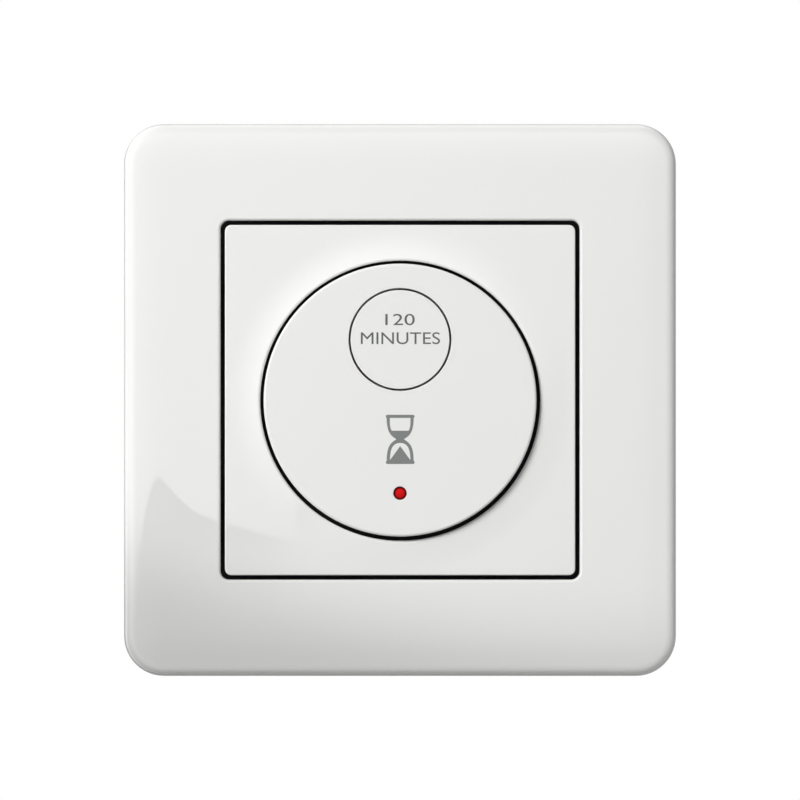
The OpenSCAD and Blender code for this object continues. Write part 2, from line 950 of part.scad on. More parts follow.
// Contact bars: each lies in its cage and stands up to the main board
module contact_bars() {
    start_y = terminal_y - cage_d / 2 + pocket_fit;
    end_y = bar_tail_y + bar_t;
    color(brass)
        on_wall()
            for (i = [0 : 2])
                translate([(i - 1) * terminal_pitch, 0, 0]) {
                    translate([-bar_w / 2, start_y, bar_z])
                        cube([bar_w, end_y - start_y, bar_t]);
                    translate([-bar_w / 2, bar_tail_y, bar_z])
                        cube([bar_w, bar_t, main_back_z - bar_z]);
                }
}

// Clamp cage: a folded strip whose rear wall is the nut of its screw
module terminal_cage(i) {
    color(steel)
        on_wall()
            at_terminal(i)
                difference() {
                    bar(cage_w, cage_d, cage_z, cage_front_z);
                    bar(cage_in_w, cage_d + 2 * cut, cage_z + cage_nut_t, cage_front_z - cage_wall);
                    rod(screw_r + run_fit, cage_z - cut, cage_z + cage_nut_t + cut);
                }
}

// Clamp screw: its tip stands on the bar, so that turning it lifts the cage
module terminal_screw(i) {
    color(steel)
        on_wall()
            at_terminal(i)
                difference() {
                    union() {
                        rod(screw_head_r, head_z, head_front_z);
                        rod(screw_r, head_front_z - touch_fit, bar_z - touch_fit);
                    }
                    mirror([0, 0, 1])
                        cross_recess(drive_w, drive_t, -head_z);
                }
}

// Deep housing behind the wall: ledge for the main board, bosses, driver holes and wire entries
module rear_housing() {
    color(pale)
        on_wall()
            difference() {
                union() {
                    difference() {
                        rear_body();
                        translate([0, 0, insert_floor_z])
                            linear_extrude(height = insert_depth)
                                insert_outline(insert_wall);
                        translate([0, 0, main_back_z])
                            linear_extrude(height = insert_depth)
                                insert_outline(insert_wall - ledge_w);
                    }
                    intersection() {
                        for (side = [-1, 1], end = [-1, 1])
                            translate([side * join_at, end * join_at, 0])
                                rod(boss_r, -boss_l, 0);
                        rear_body();
                    }
                    for (turn = [0, 180])
                        rotate(turn)
                            claw_guides();
                }
                for (side = [-1, 1], end = [-1, 1])
                    translate([side * join_at, end * join_at, 0])
                        rod(join_shank_r + touch_fit, -boss_l + boss_floor, cut);
                for (i = [0 : vent_count - 1])
                    translate([(i - (vent_count - 1) / 2) * vent_pitch, vent_up, insert_back_z - cut])
                        linear_extrude(height = insert_wall + 2 * cut)
                            rotate(90)
                                long_hole(vent_l, vent_w);
                translate([0, field_up, 0])
                    soft_block(field_w, field_h, 1, insert_back_z - cut, insert_back_z + field_depth);
                for (i = [0 : 2])
                    at_terminal(i) {
                        rod(access_r, insert_back_z - cut, insert_floor_z + cut);
                        translate([0, -block_d / 2, 0])
                            bar(entry_w, block_d, bar_front_z, bar_front_z + wire_room);
                        translate([0, -terminal_y - insert_low, 0])
                            bar(entry_w + 2 * entry_flare, 2 * entry_flare, bar_front_z - entry_flare,
                                bar_front_z + wire_room + entry_flare);
                    }
            }
}

// Pair of ribs that keep the right claw upright
module claw_guides() {
    guide_x = insert_w / 2 + guide_rib_h / 2 - cut / 2;
    guide_y = (claw_w + guide_rib_t) / 2 + guide_rib_fit;
    for (side = [-1, 1])
        translate([guide_x, claw_up + side * guide_y, 0])
            bar(guide_rib_h + cut, guide_rib_t, insert_back_z + insert_edge, claw_z);
}

// Outside of the rear housing, with its back edge eased all round
module rear_body() {
    intersection() {
        translate([0, 0, insert_back_z])
            linear_extrude(height = insert_depth)
                insert_outline(0);
        rotate_extrude()
            mirror([0, 1])
                eased_profile(0, insert_r, 0, insert_depth, insert_edge);
    }
}

// Claw: flange on its screw, two cheeks beside it and a toothed foot
module claw() {
    cheek_out = claw_in_x + claw_reach;
    waist_x = cheek_out - claw_waist;
    foot_z = -claw_l;
    flange_back_z = claw_z - claw_flange_t;
    teeth = 4;
    tooth_w = claw_w / teeth;
    foot_x = cheek_out - claw_tooth;
    heel_x = claw_in_x + claw_waist;
    cheek = [[claw_in_x, claw_z], [cheek_out, claw_z], [cheek_out, flange_back_z - claw_tooth],
        [waist_x, flange_back_z - claw_flare_l], [waist_x, foot_z + claw_flare_l], [foot_x, foot_z + claw_foot_t],
        [foot_x, foot_z], [heel_x, foot_z], [claw_in_x + claw_gap / 2, foot_z + claw_flare_l],
        [claw_in_x, foot_z + 2 * claw_flare_l]];
    foot = concat([[heel_x, -claw_w / 2], [foot_x, -claw_w / 2]],
        [for (k = [0 : teeth - 1]) each [[cheek_out, (k + 0.5) * tooth_w - claw_w / 2],
            [foot_x, (k + 1) * tooth_w - claw_w / 2]]],
        [[heel_x, claw_w / 2]]);
    color(steel)
        union() {
            difference() {
                translate([claw_in_x + claw_reach / 2, claw_up, 0])
                    bar(claw_reach, claw_w, flange_back_z, claw_z);
                translate([claw_screw_x, claw_up, flange_back_z - cut])
                    linear_extrude(height = claw_flange_t + 2 * cut)
                        long_hole(2 * claw_slot_half, 2 * (screw_r + run_fit));
            }
            for (side = [-1, 1])
                translate([0, claw_up + side * (claw_w - claw_sheet) / 2 + claw_sheet / 2, 0])
                    rotate([90, 0, 0])
                        linear_extrude(height = claw_sheet)
                            polygon(cheek);
            translate([0, claw_up, foot_z])
                linear_extrude(height = claw_foot_t)
                    polygon(foot);
        }
}

// Right claw as drawn, left claw turned half round
module claw_right() {
    on_wall()
        claw();
}

module claw_left() {
    on_wall()
        rotate(180)
            claw();
}

// Claw screw with its head on the support plate
module claw_screw() {
    head_front = support_t + touch_fit + claw_head_h;
    color(steel)
        translate([claw_screw_x, claw_up, 0])
            difference() {
                union() {
                    rod(claw_head_r, support_t + touch_fit, head_front);
                    rod(screw_r, -claw_screw_l, support_t + touch_fit + claw_head_h / 2);
                }
                cross_recess(drive_w, drive_t, head_front);
            }
}

module claw_screw_right() {
    on_wall()
        claw_screw();
}

module claw_screw_left() {
    on_wall()
        rotate(180)
            claw_screw();
}

echo(spring_gap = spring_gap);

cover_frame();
centre_plate();
front_disc();
start_key();
key_spring();
light_pipe();
front_housing();
control_board();
tact_switch();
tact_plunger();
indicator_led();
timer_chip();
chip_resistors();
support_plate();
housing_screws();
pin_strip();
strip_pins();
main_board();
relay();
film_capacitor();
smoothing_capacitors();
varistor();
fuse();
terminal_block();
contact_bars();
terminal_cage(0);  // terminal_cage_left
terminal_cage(1);  // terminal_cage_middle
terminal_cage(2);  // terminal_cage_right
terminal_screw(0);  // terminal_screw_left
terminal_screw(1);  // terminal_screw_middle
terminal_screw(2);  // terminal_screw_right
rear_housing();
claw_left();
claw_right();
claw_screw_left();
claw_screw_right();
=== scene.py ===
import json
import math

import bmesh
import bpy
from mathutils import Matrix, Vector


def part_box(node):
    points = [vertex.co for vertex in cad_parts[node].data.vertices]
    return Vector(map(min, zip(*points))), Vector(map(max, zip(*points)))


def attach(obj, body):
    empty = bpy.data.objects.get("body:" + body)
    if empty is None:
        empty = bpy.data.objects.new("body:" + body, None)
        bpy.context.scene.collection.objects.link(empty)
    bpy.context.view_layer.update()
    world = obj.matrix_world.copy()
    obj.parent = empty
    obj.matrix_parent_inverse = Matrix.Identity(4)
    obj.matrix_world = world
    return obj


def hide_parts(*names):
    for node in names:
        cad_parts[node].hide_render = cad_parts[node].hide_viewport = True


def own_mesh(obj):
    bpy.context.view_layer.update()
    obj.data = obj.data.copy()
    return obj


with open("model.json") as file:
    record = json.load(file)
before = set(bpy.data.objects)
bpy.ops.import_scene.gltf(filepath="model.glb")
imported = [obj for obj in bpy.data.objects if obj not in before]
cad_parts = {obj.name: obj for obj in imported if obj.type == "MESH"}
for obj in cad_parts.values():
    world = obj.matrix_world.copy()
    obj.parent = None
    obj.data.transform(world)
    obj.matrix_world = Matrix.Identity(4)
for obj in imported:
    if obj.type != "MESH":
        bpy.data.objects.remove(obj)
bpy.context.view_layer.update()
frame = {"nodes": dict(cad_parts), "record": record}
mm = 0.001
ringSides = 128          # points in every large ring, square or round
smallSides = 64          # in screw heads and the key's stem
lensSides = 48           # in the lens and its seat
sameSpot = 0.0004        # mm, points nearer than this are one
sameLevel = 0.01         # mm, rings nearer in height than this make a flat
print("frame loaded,", len(frame["nodes"]), "solids")


# everything is drawn face up in mm (x right, y up, z out of the wall) and stood up at the end
def faceUp(node):
    lo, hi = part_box(node)
    return (lo.x / mm, lo.z / mm, -hi.y / mm), (hi.x / mm, hi.z / mm, -lo.y / mm)


def letGo():
    if bpy.context.object and bpy.context.object.mode != "OBJECT":
        bpy.ops.object.mode_set(mode="OBJECT")
    bpy.ops.object.select_all(action="DESELECT")


def takeUp(*pieces):
    letGo()
    for piece in pieces:
        piece.select_set(True)
    bpy.context.view_layer.objects.active = pieces[0]


def editAll():                                   # opens the active piece with all of it taken
    bpy.ops.object.mode_set(mode="EDIT")
    bpy.ops.mesh.select_all(action="SELECT")


def editDone():
    bpy.ops.object.mode_set(mode="OBJECT")


def copyOf(piece):                               # a copy with its own mesh
    copy = piece.copy()
    copy.data = piece.data.copy()
    bpy.context.collection.objects.link(copy)
    takeUp(copy)
    return copy


def arc(middle, radius, start, end, steps):      # (out, up) points on a round stretch, degrees
    turns = [math.radians(start + (end - start) * i / steps) for i in range(steps + 1)]
    return [(middle[0] + radius * math.cos(a), middle[1] + radius * math.sin(a)) for a in turns]


def squareRing(half, corner, z, steps=12):       # square loop with rounded corners
    letGo()
    bpy.ops.mesh.primitive_plane_add(size=2 * half, location=(0, 0, z))
    ring = bpy.context.object
    editAll()
    bpy.ops.mesh.bevel(offset=corner, segments=steps, affect="VERTICES", clamp_overlap=False)
    bpy.ops.mesh.delete(type="ONLY_FACE")
    bpy.ops.mesh.select_mode(type="EDGE")
    bpy.ops.mesh.select_all(action="DESELECT")
    shape = bmesh.from_edit_mesh(ring.data)
    for edge in shape.edges:                     # the four straight sides
        edge.select_set(edge.calc_length() > half)
    bmesh.update_edit_mesh(ring.data)
    bpy.ops.mesh.subdivide(number_cuts=ringSides // 4 - steps - 1)
    editDone()
    return ring


def roundRing(radius, z, at=(0, 0), sides=ringSides):
    letGo()
    bpy.ops.mesh.primitive_circle_add(vertices=sides, radius=radius, location=(at[0], at[1], z))
    return bpy.context.object


def pickRings(piece, numbers):
    takeUp(piece)
    bpy.ops.object.mode_set(mode="EDIT")
    bpy.ops.mesh.select_mode(type="EDGE")
    bpy.ops.mesh.select_all(action="DESELECT")
    shape = bmesh.from_edit_mesh(piece.data)
    ringOf = shape.verts.layers.int["ring"]
    for edge in shape.edges:
        first, second = (point[ringOf] for point in edge.verts)
        edge.select_set(first == second and first in numbers)
    bmesh.update_edit_mesh(piece.data)


def skin(name, chains, lids=(), closed=False):   # joins each ring to the next one, then closes the lids
    numberOf, heightOf = {}, []
    for chain in chains:
        for ring in chain:
            numberOf[ring] = len(heightOf)
            heightOf.append(ring.location.z)
            mark = ring.data.attributes.new("ring", "INT", "POINT")
            mark.data.foreach_set("value", [numberOf[ring]] * len(ring.data.vertices))
    steps = [[numberOf[a], numberOf[b]] for chain in chains for a, b in zip(chain, chain[1:])]
    if closed:
        steps += [[numberOf[chain[-1]], numberOf[chain[0]]] for chain in chains]
    flats = [step for step in steps if abs(heightOf[step[0]] - heightOf[step[1]]) < sameLevel]
    flats += [[numberOf[ring] for ring in lid] for lid in lids]
    takeUp(*numberOf)
    bpy.ops.object.join()
    bpy.ops.object.transform_apply(location=True, rotation=True, scale=True)
    piece = bpy.context.object
    piece.name = piece.data.name = name
    for step in steps:
        if step not in flats:
            pickRings(piece, step)
            bpy.ops.mesh.bridge_edge_loops()
    for flat in flats:
        pickRings(piece, flat)
        if len(flat) == 1:
            bpy.ops.mesh.edge_face_add()
        else:
            bpy.ops.mesh.fill(use_beauty=True)
    bpy.ops.mesh.select_all(action="SELECT")
    bpy.ops.mesh.normals_make_consistent(inside=False)
    editDone()
    piece.data.attributes.remove(piece.data.attributes["ring"])
    return piece


def block(lo, hi, ease):                         # box between two corners, all edges eased
    letGo()
    bpy.ops.mesh.primitive_cube_add(size=1, location=[(a + b) / 2 for a, b in zip(lo, hi)],
                                    scale=[b - a for a, b in zip(lo, hi)])
    bpy.ops.object.transform_apply(location=True, rotation=True, scale=True)
    editAll()
    bpy.ops.mesh.bevel(offset=ease, segments=2, affect="EDGES")
    editDone()
    return bpy.context.object


def turned(piece, degrees):                      # a copy, turned about the middle
    copy = copyOf(piece)
    copy.rotation_euler.z = math.radians(degrees)
    bpy.ops.object.transform_apply(location=False, rotation=True, scale=False)
    return copy


def workWith(piece, extras, operation="UNION"):  # welds on or cuts out shapes that are clear of each other
    takeUp(*extras)
    bpy.ops.object.join()
    tool = bpy.context.object
    takeUp(piece)
    work = piece.modifiers.new("work", "BOOLEAN")
    work.operation = operation
    work.solver = "EXACT"
    work.object = tool
    bpy.ops.object.modifier_apply(modifier=work.name)
    bpy.data.objects.remove(tool)


def dress(piece, node, body, finish, angle):     # shading, finish and place in the frame
    bpy.ops.object.shade_smooth_by_angle(angle=math.radians(angle))
    evenFlats = piece.modifiers.new("evenFlats", "WEIGHTED_NORMAL")
    evenFlats.keep_sharp = True
    bpy.ops.object.modifier_apply(modifier=evenFlats.name)
    piece.data.materials.clear()
    piece.data.materials.append(finish)
    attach(piece, body)
    if node:
        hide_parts(node)


def finishPiece(piece, node, body, slot, finish=None, angle=32):
    takeUp(piece)
    editAll()
    bpy.ops.mesh.remove_doubles(threshold=sameSpot)
    bpy.ops.mesh.normals_make_consistent(inside=False)
    editDone()
    piece.rotation_euler = (math.radians(90), 0, 0)
    piece.scale = (mm, mm, mm)
    bpy.ops.object.transform_apply(location=False, rotation=True, scale=True)
    dress(piece, node, body, finish or finishes[slot], angle)


# camera: square on, far away, its scale taken on the plate's face
shot = {"pixels": 800, "pixelsPerMm": 6.373, "distance": 1.25, "side": -0.000005, "rise": 0.000015, "sensor": 36}
plateFace = -faceUp("centre_plate")[1][2] * mm
bpy.ops.object.camera_add(location=(shot["side"], -shot["distance"], shot["rise"]),
                          rotation=(math.radians(90), 0, 0))
camera = bpy.context.object
camera.data.sensor_width = shot["sensor"]
viewWidth = shot["pixels"] / shot["pixelsPerMm"] * mm
camera.data.lens = camera.data.sensor_width * (shot["distance"] + plateFace) / viewWidth
bpy.context.scene.camera = camera
print("camera set")


# finishes: a cloudy tint, fine grain in the roughness, and shallow dents
grainSizes = {"coarser": 12, "cloudDetail": 3.0, "cloudRough": 0.6, "detail": 2.0, "rough": 0.5,
              "dents": 0.4, "polishFade": 0.5, "dullShine": 0.02}
lensLo, lensHi = faceUp("light_pipe")
keyLo, keyHi = faceUp("start_key")
lensAt = (0, (lensLo[1] + lensHi[1]) / 2)
keyAt = (0, (keyLo[1] + keyHi[1]) / 2)


def newFinish(name):
    finish = bpy.data.materials.new(name)
    finish.use_nodes = True
    nodes = finish.node_tree.nodes
    return finish, nodes, finish.node_tree.links, nodes["Principled BSDF"]


def setInputs(node, values):
    for socket, value in values.items():
        node.inputs[socket].default_value = value
    return node


def addRange(nodes, values):
    return setInputs(nodes.new("ShaderNodeMapRange"), values)


def addMath(nodes, kind, operation):
    node = nodes.new("ShaderNode" + kind)
    node.operation = operation
    return node


def grainOf(nodes, links, scale, detail, rough):
    place = nodes.new("ShaderNodeTexCoord")
    grain = setInputs(nodes.new("ShaderNodeTexNoise"), {"Scale": scale, "Detail": detail, "Roughness": rough})
    links.new(place.outputs["Object"], grain.inputs["Vector"])
    return grain


def moulded(name, tone, other, rough, grainScale, bump, metal=0.0, ior=1.5, shine=0.5, dullBelow=None):
    s = grainSizes
    finish, nodes, links, shader = newFinish(name)
    setInputs(shader, {"Metallic": metal, "IOR": ior, "Specular IOR Level": shine})
    clouds = grainOf(nodes, links, grainScale / s["coarser"], s["cloudDetail"], s["cloudRough"])
    tint = nodes.new("ShaderNodeMix")
    tint.data_type = "RGBA"
    setInputs(tint, {"A": (*tone, 1), "B": (*other, 1)})
    links.new(clouds.outputs["Fac"], tint.inputs["Factor"])
    links.new(tint.outputs["Result"], shader.inputs["Base Color"])
    fine = grainOf(nodes, links, grainScale, s["detail"], s["rough"])
    spread = addRange(nodes, {"To Min": rough[0], "To Max": rough[1]})
    links.new(fine.outputs["Fac"], spread.inputs["Value"])
    links.new(spread.outputs["Result"], shader.inputs["Roughness"])
    dents = setInputs(nodes.new("ShaderNodeBump"), {"Strength": s["dents"], "Distance": bump})
    links.new(fine.outputs["Fac"], dents.inputs["Height"])
    links.new(dents.outputs["Normal"], shader.inputs["Normal"])
    if dullBelow:                                # polished in front only
        place, split = nodes.new("ShaderNodeTexCoord"), nodes.new("ShaderNodeSeparateXYZ")
        depth = addRange(nodes, {"From Min": -dullBelow * mm, "From Max": (s["polishFade"] - dullBelow) * mm,
                                 "To Min": shine, "To Max": s["dullShine"]})
        links.new(place.outputs["Object"], split.inputs["Vector"])
        links.new(split.outputs["Y"], depth.inputs["Value"])
        links.new(depth.outputs["Result"], shader.inputs["Specular IOR Level"])
    return finish


white = {"tone": (0.79, 0.79, 0.772), "other": (0.805, 0.805, 0.79), "rough": (0.025, 0.04),
         "grainScale": 900, "bump": 0.0000001, "ior": 1.55}
ink = {"rough": (0.3, 0.42), "grainScale": 5000, "bump": 0.000004, "shine": 0.1}
lensLook = {"tone": (0.62, 0.009, 0.009), "other": (0.6696, 0.00972, 0.00972), "rough": (0.25, 0.32),
            "grainScale": 2000, "bump": 0.000004, "shine": 0.02}
lensRimShade = {"tone": (0.13, 0.004, 0.005), "from": 0.55, "to": 0.98}      # painted shade darkening the rim of the lens; from and to in mm off the middle
finishes = {
    "gloss_white": moulded("glossWhite", **white),
    "grey_plastic": moulded("greyPlastic", (0.5, 0.51, 0.515), (0.54, 0.55, 0.555), (0.38, 0.52), 3000, 0.00003),
    "black_plastic": moulded("blackPlastic", (0.012, 0.012, 0.013), (0.022, 0.022, 0.024), (0.4, 0.55),
                             2600, 0.00002, shine=0.12),
    "ivory_plastic": moulded("ivoryPlastic", (0.7, 0.67, 0.58), (0.74, 0.71, 0.63), (0.32, 0.45), 2600, 0.00002),
    "relay_blue": moulded("relayBlue", (0.03, 0.1, 0.3), (0.05, 0.13, 0.36), (0.25, 0.38), 2400, 0.00002),
    "film_yellow": moulded("filmYellow", (0.55, 0.37, 0.05), (0.62, 0.43, 0.07), (0.25, 0.38), 2400, 0.00002),
    "can_sleeve": moulded("canSleeve", (0.03, 0.035, 0.08), (0.05, 0.06, 0.12), (0.18, 0.3), 1800, 0.00001),
    "board_green": moulded("boardGreen", (0.02, 0.14, 0.06), (0.03, 0.2, 0.09), (0.25, 0.4), 1600, 0.00002),
    "black_steel": moulded("blackSteel", (0.016, 0.016, 0.017), (0.026, 0.026, 0.027), (0.45, 0.6),
                           2200, 0.00002, shine=0.1),
    "zinc_steel": moulded("zincSteel", (0.56, 0.57, 0.58), (0.68, 0.69, 0.7), (0.24, 0.42),
                          1500, 0.00001, metal=1.0),
    "spring_steel": moulded("springSteel", (0.5, 0.5, 0.5), (0.6, 0.6, 0.6), (0.2, 0.32), 3000, 0.00001, metal=1.0),
    "contact_brass": moulded("contactBrass", (0.72, 0.52, 0.22), (0.8, 0.6, 0.28), (0.2, 0.34),
                             1800, 0.00001, metal=1.0),
    "red_lens": moulded("redLens", **lensLook),
}
frontWhite = moulded("frontWhite", **white, dullBelow=10.0)
signInk = moulded("signInk", (0.2, 0.21, 0.205), (0.225, 0.235, 0.23), **ink)
legendInk = moulded("legendInk", (0.112, 0.117, 0.115), (0.13, 0.136, 0.133), **ink)


def paintLensRimShade(finish, s):                       # clear red with painted shade: its colour is painted darker towards the edge of the lens
    nodes, links = finish.node_tree.nodes, finish.node_tree.links
    place = nodes.new("ShaderNodeTexCoord")
    apart = addMath(nodes, "VectorMath", "DISTANCE")
    apart.inputs[1].default_value = (0, -lensHi[2] * mm, lensAt[1] * mm)
    edge = addRange(nodes, {"From Min": s["from"] * mm, "From Max": s["to"] * mm})
    edge.interpolation_type = "SMOOTHSTEP"
    shade = nodes.new("ShaderNodeMix")
    shade.data_type = "RGBA"
    setInputs(shade, {"B": (*s["tone"], 1)})
    colour = nodes["Principled BSDF"].inputs["Base Color"]
    links.new(place.outputs["Object"], apart.inputs[0])
    links.new(apart.outputs["Value"], edge.inputs["Value"])
    links.new(edge.outputs["Result"], shade.inputs["Factor"])
    links.new(colour.links[0].from_socket, shade.inputs["A"])
    links.new(shade.outputs["Result"], colour)


# the rim of the lens gets painted shade in its base colour
paintLensRimShade(finishes["red_lens"], lensRimShade)
for part in frame["record"]["subparts"]:
    for place in frame["nodes"][part["node"]].material_slots:
        place.material = finishes[part["material_slot"]]
print("finishes mixed,", len(finishes))


# cover frame: soft rim, eased opening, hollow back with skirt, ribs on feet, and grip fingers
frameSizes = {"corner": 6.3, "rim": 2.0, "softRim": 60.0, "rimEnd": 89.6, "rimSteps": 10, "wall": 1.8, "gap": 0.7,
              "openingCorner": 1.35, "lip": 0.5, "lipSteps": 6, "skirt": 1.5, "rib": 1.2, "ribAt": 19.0,
              "footFrom": 28.6, "footTo": 31.4, "footEnd": 1.5, "fingerAt": 33.85, "fingerThick": 1.2,
              "fingerFrom": 6.0, "fingerTo": 14.0, "fingerEnd": 1.2, "ease": 0.15}
seatZ = faceUp("front_disc")[0][2]               # front of the insert's flange


def makeCoverFrame(s):
    (_, _, back), (half, _, top) = faceUp("cover_frame")
    opening = faceUp("centre_plate")[1][0] + s["gap"]
    hollow = half - s["wall"]
    under = top - s["wall"]
    easeOut = s["corner"] - s["rim"]             # middle of the small rounding
    easeUp = top - s["softRim"] + math.sqrt((s["softRim"] - s["rim"]) ** 2 - easeOut ** 2)
    meet = 90 - math.degrees(math.asin(easeOut / (s["softRim"] - s["rim"])))
    rim = [(s["corner"], back)] + arc((easeOut, easeUp), s["rim"], 0, meet, s["rimSteps"])
    rim += arc((0, top - s["softRim"]), s["softRim"], meet, s["rimEnd"], s["rimSteps"])[1:]
    lip = arc((opening + s["lip"], top - s["lip"]), s["lip"], 90, 180, s["lipSteps"])
    rings = [squareRing(half - s["corner"] + out, out, up) for out, up in rim]
    rings += [squareRing(reach, s["openingCorner"] + reach - opening, up) for reach, up in lip]
    rings += [squareRing(opening, s["openingCorner"], seatZ),
              squareRing(opening + s["skirt"], s["openingCorner"] + s["skirt"], seatZ),
              squareRing(opening + s["skirt"], s["openingCorner"] + s["skirt"], under),
              squareRing(hollow, s["corner"] - s["wall"], under),
              squareRing(hollow, s["corner"] - s["wall"], back)]
    piece = skin("coverFrame", [rings], closed=True)
    inside = s["wall"] / 2                       # how deep a moulding reaches into what carries it
    for side in (-1, 1):
        low, high = (side * s["ribAt"] + end * s["rib"] / 2 for end in (-1, 1))
        rib = block((opening + inside, low, seatZ), (hollow + inside, high, under + inside), s["ease"])
        foot = block((s["footFrom"], low + s["ease"], s["footEnd"]),
                     (s["footTo"], high - s["ease"], seatZ + inside), s["ease"])
        low, high = sorted((side * s["fingerFrom"], side * s["fingerTo"]))
        finger = block((s["fingerAt"] - s["fingerThick"] / 2, low, s["fingerEnd"]),
                       (s["fingerAt"] + s["fingerThick"] / 2, high, under + inside), s["ease"])
        for moulding in (rib, foot, finger):
            workWith(piece, [moulding] + [turned(moulding, degrees) for degrees in (90, 180, 270)])
    finishPiece(piece, "cover_frame", "wall_unit", "gloss_white")


makeCoverFrame(frameSizes)
print("cover frame done")


# centre plate: eased square, flared collar round the hole, skirt and snap legs; its hole sags a little
plateSizes = {"corner": 1.0, "edge": 0.25, "edgeSteps": 5, "thickness": 1.8, "skirt": 1.5, "innerCorner": 0.4,
              "rise": 0.45, "collarSteps": 24, "lip": 0.4, "lipSteps": 8, "margin": 0.2, "discGap": 0.57,
              "sag": (0.03, -0.09), "legAt": 21.9, "legWide": 4.0, "legThick": 1.6, "hook": 0.6, "hookHigh": 1.2,
              "ease": 0.15}


def makeCentrePlate(s):
    (_, _, legEnd), (half, _, collarTop) = faceUp("centre_plate")
    top = collarTop - s["rise"]
    under = top - s["thickness"]
    hole = faceUp("front_disc")[1][0] + s["discGap"]
    collar = half - s["edge"] - s["margin"]
    edge = arc((half - s["edge"], top - s["edge"]), s["edge"], 0, 90, s["edgeSteps"])
    rings = [squareRing(half, s["corner"], seatZ)]
    rings += [squareRing(reach, s["corner"] + reach - half, up) for reach, up in edge]
    lean = math.atan(2 * s["rise"] / (collar - hole - s["lip"]))
    crest = hole + s["lip"] * (1 + math.sin(lean))
    climb = s["rise"] - s["lip"] * (1 - math.cos(lean))
    for i in range(s["collarSteps"] + 1):        # grows steeper up to the lip of the hole
        share = i / s["collarSteps"]
        rings.append(roundRing(collar - share * (collar - crest), top + climb * share ** 2, s["sag"]))
    lip = arc((hole + s["lip"], collarTop - s["lip"]), s["lip"], 90 - math.degrees(lean), 180, s["lipSteps"])[1:]
    rings += [roundRing(reach, up, s["sag"]) for reach, up in lip + [(hole, under)]]
    rings += [squareRing(half - s["skirt"], s["innerCorner"], under),
              squareRing(half - s["skirt"], s["innerCorner"], seatZ)]
    piece = skin("centrePlate", [rings], closed=True)
    legs, hooks = [], []
    for x in (-s["legAt"], s["legAt"]):
        for end in (-1, 1):
            y = end * s["legAt"]
            legs.append(block((x - s["legWide"] / 2, y - s["legThick"] / 2, legEnd),
                              (x + s["legWide"] / 2, y + s["legThick"] / 2, under + s["thickness"] / 2), s["ease"]))
            low, high = sorted((y, y + end * (s["legThick"] / 2 + s["hook"])))
            hooks.append(block((x - s["legWide"] / 2 + s["ease"], low, legEnd + s["ease"]),
                               (x + s["legWide"] / 2 - s["ease"], high, legEnd + s["hookHigh"]), s["ease"]))
    workWith(piece, legs)
    workWith(piece, hooks)
    finishPiece(piece, "centre_plate", "wall_unit", "gloss_white")


makeCentrePlate(plateSizes)
print("centre plate done")


# front disc: eased edge, skirt, key guide and lens seat
discSizes = {"edge": 0.45, "edgeSteps": 7, "thickness": 1.8, "skirt": 1.5, "keyGap": 0.3, "keyEdge": 0.1,
             "keyEdgeSteps": 5, "guideWall": 1.0, "guideLength": 2.4, "lens": 1.0, "lensPlay": 0.05,
             "lensRimShade": 0.12, "lensEdgeSteps": 4, "seatDeep": 0.8, "bossWall": 0.9}
keySizes = {"radius": 7.75, "edge": 0.1, "edgeSteps": 5, "cap": 1.6, "wall": 1.1, "flangeHigh": 0.8, "stem": 2.2,
            "stemPlay": 0.05}


def makeFrontDisc(s):
    (_, _, back), (radius, _, top) = faceUp("front_disc")
    under = top - s["thickness"]
    inner = radius - s["skirt"]
    outside = [(inner, under), (inner, back), (radius, back)]
    outside += arc((radius - s["edge"], top - s["edge"]), s["edge"], 0, 90, s["edgeSteps"])
    key = keySizes["radius"] + s["keyGap"]
    guideEnd = under - s["guideLength"]
    guide = arc((key + s["keyEdge"], top - s["keyEdge"]), s["keyEdge"], 90, 180, s["keyEdgeSteps"])
    guide += [(key, guideEnd), (key + s["guideWall"], guideEnd), (key + s["guideWall"], under)]
    lens = s["lens"] + s["lensPlay"]
    seat = lensHi[0] + s["lensPlay"]
    seatLow = under - s["seatDeep"]
    boss = arc((lens + s["lensRimShade"], top - s["lensRimShade"]), s["lensRimShade"], 90, 180, s["lensEdgeSteps"])
    boss += [(lens, under), (seat, under), (seat, seatLow), (seat + s["bossWall"], seatLow),
             (seat + s["bossWall"], under)]
    body = [roundRing(out, up) for out, up in outside]
    keyHole = [roundRing(out, up, keyAt) for out, up in guide]
    lensHole = [roundRing(out, up, lensAt, lensSides) for out, up in boss]
    piece = skin("frontDisc", [body, keyHole, lensHole],
                 lids=[[body[-1], keyHole[0], lensHole[0]], [body[0], keyHole[-1], lensHole[-1]]])
    finishPiece(piece, "front_disc", "wall_unit", "gloss_white", frontWhite)


makeFrontDisc(discSizes)
print("front disc done")


# start key: eased cap, guide skirt with its catch, stem on the push switch
def makeStartKey(s):
    top, catch, low = keyHi[2], keyHi[0], keyLo[2]
    under = top - s["cap"]
    bore = s["radius"] - s["wall"]
    outside = [(bore, under), (bore, low), (catch, low), (catch, low + s["flangeHigh"]),
               (s["radius"], low + s["flangeHigh"])]
    outside += arc((s["radius"] - s["edge"], top - s["edge"]), s["edge"], 0, 90, s["edgeSteps"])
    body = [roundRing(out, up, keyAt) for out, up in outside]
    stemEnd = faceUp("tact_plunger")[1][2] + s["stemPlay"]
    stem = [roundRing(s["stem"], up, keyAt, smallSides) for up in (under, stemEnd)]
    piece = skin("startKey", [body, stem], lids=[[body[-1]], [body[0], stem[0]], [stem[-1]]])
    finishPiece(piece, "start_key", "start_key", "gloss_white", frontWhite)


makeStartKey(keySizes)
print("start key done")


# red light pipe: domed lens, flange and rod down to the lamp
pipeSizes = {"lens": 1.0, "dome": 1.6, "domeEnd": 88, "domeSteps": 12, "flange": 0.8, "rod": 1.35}


